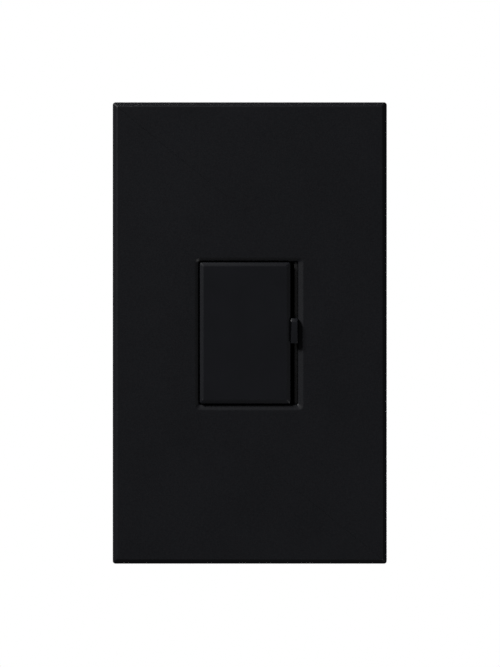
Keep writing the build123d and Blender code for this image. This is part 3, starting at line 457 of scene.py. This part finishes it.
housing_grey = moulded(
    "housing_grey",
    dark=(0.016, 0.016, 0.018), light=(0.024, 0.024, 0.027), polish=(0.42, 0.62),
    grain_size=0.00035, grain_height=0.00003, patch_size=0.010, specular=0.5,
)
device_housing = softened("back_housing", "device_housing", rounding=0.00025)
finished(device_housing, "frame", housing_grey, "housing_plastic", "back_housing")


# ---- Screw terminals --------------------------------------------------------------------------
# Three pressure-plate terminals in the housing's pockets: a stamped brass plate, a zinc-plated
# clamp and a turned brass screw with a straight slot.

stamped_brass = drawn_metal(
    "stamped_brass",
    dark=(0.55, 0.36, 0.12), light=(0.75, 0.53, 0.22), polish=(0.26, 0.42),
    streak=0.0003, along="y", depth=0.000004,
)
brass_plates = softened("terminal_plates", "brass_plates", rounding=0.00008)
finished(brass_plates, "frame", stamped_brass, "brass", "terminal_plates")
pressure_clamps = softened("terminal_clamps", "pressure_clamps", rounding=0.00008)
finished(pressure_clamps, "frame", zinc_plate, "zinc_steel", "terminal_clamps")
binding_screws = softened("terminal_screws", "binding_screws", rounding=0.0001)
finished(binding_screws, "frame", stamped_brass, "brass", "terminal_screws")


# ---- Springs ----------------------------------------------------------------------------------
# Two coil springs push the pad back out and a third lifts the plunger: music wire, coiled cold
# and closed at neither end. In use each shortens as the piece that presses on it comes in; here
# each is built at one length, as deep as its CAD node.


steps_per_turn = 32
wire_faces = 10


def spring_tree():
    """Coil springs: each point gets a helix of round wire that starts there."""
    tree = bpy.data.node_groups.new("coil_spring", "GeometryNodeTree")
    size = "NodeSocketFloat"
    given = tree_inputs(
        tree,
        Radius=size,
        Length=size,
        Turns=size,
        Wire=size,
        Turn="NodeSocketRotation",
        Material="NodeSocketMaterial",
    )
    helix = tree.nodes.new("GeometryNodeCurveSpiral")
    helix.inputs["Resolution"].default_value = steps_per_turn
    tree.links.new(given["Turns"], helix.inputs["Rotations"])
    tree.links.new(given["Radius"], helix.inputs["Start Radius"])
    tree.links.new(given["Radius"], helix.inputs["End Radius"])
    tree.links.new(given["Length"], helix.inputs["Height"])
    wire = tree.nodes.new("GeometryNodeCurvePrimitiveCircle")
    wire.inputs["Resolution"].default_value = wire_faces
    tree.links.new(given["Wire"], wire.inputs["Radius"])
    swept = tree.nodes.new("GeometryNodeCurveToMesh")
    swept.inputs["Fill Caps"].default_value = True
    tree.links.new(helix.outputs["Curve"], swept.inputs["Curve"])
    tree.links.new(wire.outputs["Curve"], swept.inputs["Profile Curve"])
    placed_and_dressed(tree, swept.outputs["Mesh"], given)
    return tree


coil_spring = spring_tree()
spring_steel = drawn_metal(
    "spring_steel",
    dark=(0.42, 0.42, 0.43), light=(0.60, 0.60, 0.61), polish=(0.22, 0.34),
    streak=0.0002, along="y", depth=0.000003,
)
wire_radius = 0.000175


def wound(name, node, count, turns):
    """The springs of one CAD node, side by side along x, wound towards the room."""
    low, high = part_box(node)
    radius = (high.z - low.z) / 2 - wire_radius
    ends = (low.x + radius + wire_radius, high.x - radius - wire_radius)
    points = [(x, high.y - wire_radius, (low.z + high.z) / 2) for x in ends[:count]]
    return grown(
        name,
        coil_spring,
        points,
        Radius=radius,
        Length=high.y - low.y - 2 * wire_radius,
        Turns=turns,
        Wire=wire_radius,
        Turn=along_y,
        Material=spring_steel,
    )


def shortens(spring):
    """Gives a spring its own copy of its mesh; the spring keeps its length."""
    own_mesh(spring)


pad_springs = wound("pad_springs", "pad_return_springs", count=2, turns=3.5)
finished(pad_springs, "frame", spring_steel, "spring_wire", "pad_return_springs")
shortens(pad_springs)
lifting_spring = wound("lifting_spring", "plunger_spring", count=1, turns=2.5)
finished(lifting_spring, "frame", spring_steel, "spring_wire", "plunger_spring")
shortens(lifting_spring)


# ---- Hidden works -----------------------------------------------------------------------------
# What the housing closes in: the tap switch, the slide control, the choke, the triac and the
# board they stand on. They keep their CAD shapes and get the finish of the real stock.

refinished(
    zinc_plate, "pot_screws", "housing_screws", "board_screws", "pot_frame", "contact_pivot_pin", "hinge_pin"
)
refinished(rolled_aluminium, "triac_tab", "triac_rivet")
refinished(stamped_brass, "fixed_contact_strip", "arm_bracket")
spring_bronze = drawn_metal(
    "spring_bronze",
    dark=(0.50, 0.27, 0.12), light=(0.68, 0.42, 0.22), polish=(0.25, 0.40),
    streak=0.0002, along="z", depth=0.000003,
)
refinished(spring_bronze, "contact_arm", "pot_wipers")
contact_silver = drawn_metal(
    "contact_silver",
    dark=(0.70, 0.69, 0.66), light=(0.85, 0.84, 0.81), polish=(0.2, 0.35),
    streak=0.0002, along="x", depth=0.000003,
)
refinished(contact_silver, "moving_contact", "fixed_contact")
white_acetal = moulded(
    "white_acetal",
    dark=(0.62, 0.61, 0.56), light=(0.74, 0.73, 0.69), polish=(0.35, 0.48),
    grain_size=0.0003, grain_height=0.00001, patch_size=0.004,
)
refinished(white_acetal, "plunger", "pot_carriage")
brown_phenolic = moulded(
    "brown_phenolic",
    dark=(0.070, 0.030, 0.013), light=(0.12, 0.055, 0.026), polish=(0.4, 0.6),
    grain_size=0.0002, grain_height=0.00001, patch_size=0.003,
)
refinished(brown_phenolic, "switch_base", "switch_cover", "switch_shelf", "pot_track_board")
solder_mask = moulded(
    "solder_mask",
    dark=(0.012, 0.085, 0.034), light=(0.028, 0.15, 0.065), polish=(0.22, 0.38),
    grain_size=0.0004, grain_height=0.00001, patch_size=0.003,
)
refinished(solder_mask, "circuit_board")
tinned_copper = drawn_metal(
    "tinned_copper",
    dark=(0.58, 0.58, 0.57), light=(0.76, 0.76, 0.75), polish=(0.2, 0.36),
    streak=0.0002, along="y", depth=0.000003,
)
refinished(tinned_copper, "pot_pins", "triac_leads", "component_leads")
enamelled_copper = drawn_metal(
    "enamelled_copper",
    dark=(0.50, 0.14, 0.045), light=(0.72, 0.27, 0.10), polish=(0.15, 0.3),
    streak=0.0002, along="y", depth=0.000003,
)
refinished(enamelled_copper, "choke_winding")
grey_ferrite = moulded(
    "grey_ferrite",
    dark=(0.024, 0.023, 0.024), light=(0.050, 0.048, 0.050), polish=(0.45, 0.65),
    grain_size=0.0002, grain_height=0.00002, patch_size=0.002,
)
refinished(grey_ferrite, "choke_core")
silicone_pad = moulded(
    "silicone_pad",
    dark=(0.36, 0.37, 0.38), light=(0.48, 0.49, 0.50), polish=(0.6, 0.8),
    grain_size=0.0003, grain_height=0.00002, patch_size=0.003,
)
refinished(silicone_pad, "choke_pad", "heat_pad")
yellow_case = moulded(
    "yellow_case",
    dark=(0.62, 0.38, 0.03), light=(0.80, 0.54, 0.07), polish=(0.25, 0.4),
    grain_size=0.0004, grain_height=0.00001, patch_size=0.004,
)
refinished(yellow_case, "filter_capacitor", "timing_capacitor")
black_epoxy = moulded(
    "black_epoxy",
    dark=(0.011, 0.011, 0.011), light=(0.020, 0.020, 0.020), polish=(0.4, 0.6),
    grain_size=0.00015, grain_height=0.00001, patch_size=0.002,
)
refinished(black_epoxy, "triac_body")
blue_lacquer = moulded(
    "blue_lacquer",
    dark=(0.07, 0.22, 0.40), light=(0.14, 0.36, 0.58), polish=(0.15, 0.3),
    grain_size=0.0003, grain_height=0.00001, patch_size=0.0015,
)
refinished(blue_lacquer, "diac", "resistors")


# ---- Floor, lights and camera -----------------------------------------------------------------
# A pale floor well below the switch that neither lights nor shades it, a soft lamp high on the
# left that grazes the front, a weak one low on the right, two behind it for the back, and a long
# lens straight on.

floor_z = -0.25
floor_radius = 1.1
floor_mesh = bpy.data.meshes.new("pale_floor")
rim_steps = 72
rim = [2 * math.pi * step / rim_steps for step in range(rim_steps)]
floor_points = [(floor_radius * math.cos(turn), floor_radius * math.sin(turn), floor_z) for turn in rim]
floor_mesh.from_pydata(floor_points, [], [range(rim_steps)])
pale_floor = bpy.data.objects.new("pale_floor", floor_mesh)
bpy.context.collection.objects.link(pale_floor)
floor_white = moulded(
    "floor_white",
    dark=(0.84, 0.84, 0.84), light=(0.88, 0.88, 0.87), polish=(0.7, 0.9),
    grain_size=0.002, grain_height=0.00005, patch_size=0.05, specular=0.2,
)
floor_mesh.materials.append(floor_white)
pale_floor.visible_diffuse = False
pale_floor.visible_glossy = False
pale_floor.visible_shadow = False

world = bpy.data.worlds.new("studio")
bpy.context.scene.world = world
world.use_nodes = True
studio = world.node_tree
backdrop = studio.nodes["Background"]
seen_strength, lighting_strength = 1.0, 0.035
backdrop.inputs["Color"].default_value = (1, 1, 1, 1)
seen = studio.nodes.new("ShaderNodeLightPath")
brightness = studio.nodes.new("ShaderNodeMapRange")
brightness.inputs["To Min"].default_value = lighting_strength
brightness.inputs["To Max"].default_value = seen_strength
studio.links.new(seen.outputs["Is Camera Ray"], brightness.inputs["Value"])
studio.links.new(brightness.outputs["Result"], backdrop.inputs["Strength"])


def soft_lamp(name, place, size, watts):
    """A square soft lamp at a place, turned towards the switch."""
    lamp = bpy.data.lights.new(name, "AREA")
    lamp.shape = "SQUARE"
    lamp.size = size
    lamp.energy = watts
    holder = bpy.data.objects.new(name, lamp)
    bpy.context.collection.objects.link(holder)
    turn = (-Vector(place)).to_track_quat("-Z", "Y").to_matrix().to_4x4()
    holder.matrix_world = Matrix.Translation(place) @ turn


soft_lamp("key_lamp", place=(-1.16, -0.62, 1.18), size=0.45, watts=36)
soft_lamp("fill_lamp", place=(0.90, -0.80, -0.90), size=0.5, watts=6)
soft_lamp("rear_left_lamp", place=(-0.60, 1.30, 0.85), size=0.6, watts=16)
soft_lamp("rear_right_lamp", place=(0.60, 1.30, -0.30), size=0.6, watts=9)

camera = bpy.data.cameras.new("camera")
camera.lens = 150
camera.clip_start = 0.01
camera_holder = bpy.data.objects.new("camera", camera)
bpy.context.collection.objects.link(camera_holder)
viewed_height = 0.16959
aim_x, aim_z = 0.00006, -0.00013
front_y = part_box("wall_plate")[0].y
distance = viewed_height * camera.lens / camera.sensor_width
place = Matrix.Translation((aim_x, front_y - distance, aim_z))
camera_holder.matrix_world = place @ Matrix.Rotation(math.pi / 2, 4, "X")
bpy.context.scene.camera = camera_holder
bpy.context.scene.view_settings.view_transform = "Standard"
